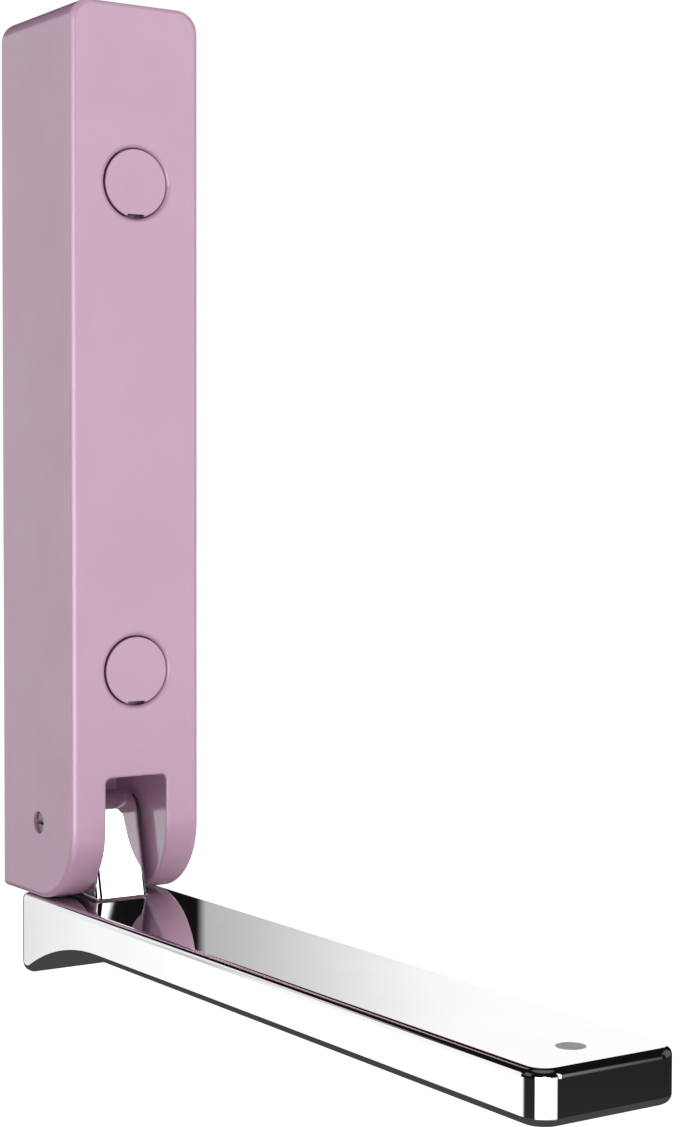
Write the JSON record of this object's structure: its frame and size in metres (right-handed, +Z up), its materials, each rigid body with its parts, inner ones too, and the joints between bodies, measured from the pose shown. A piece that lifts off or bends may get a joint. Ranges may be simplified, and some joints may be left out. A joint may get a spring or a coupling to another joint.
{
  "type": "folding wall hook",
  "caption": "Folding wall hook: a lacquered upright housing screwed to the wall, and a chrome arm that swings up against it and leaves a small coat hook at its foot.",
  "frame": {"origin": "wall face, midway between the two wall screws", "axes": "+Y into the wall, +Z up, X along the wall; the arm points to -Y at rest"},
  "size_m": [0.0256, 0.1585, 0.1748],
  "materials": {
    "lacquered_zinc": "satin",
    "lacquered_cap": "satin",
    "chromed_zinc": "polished",
    "steel": "turned",
    "bush_plastic": "moulded",
    "magnet_steel": "matt plated"
  },
  "bodies": {
    "housing_body": {"housing": "lacquered_zinc", "lower_cover_cap": "lacquered_cap", "upper_cover_cap": "lacquered_cap", "pivot_pin": "steel", "pin_grub_screw": "steel", "steel_keeper": "steel"},
    "arm_body": {"arm": "chromed_zinc", "left_bush": "bush_plastic", "right_bush": "bush_plastic", "arm_magnet": "magnet_steel"}
  },
  "joints": [
    {"name": "arm_fold", "type": "hinge", "parent": "housing_body", "child": "arm_body", "pos_m": [0, -0.0144, -0.0714], "axis": [-1, 0, 0], "range_deg": [0, 90]}
  ]
}
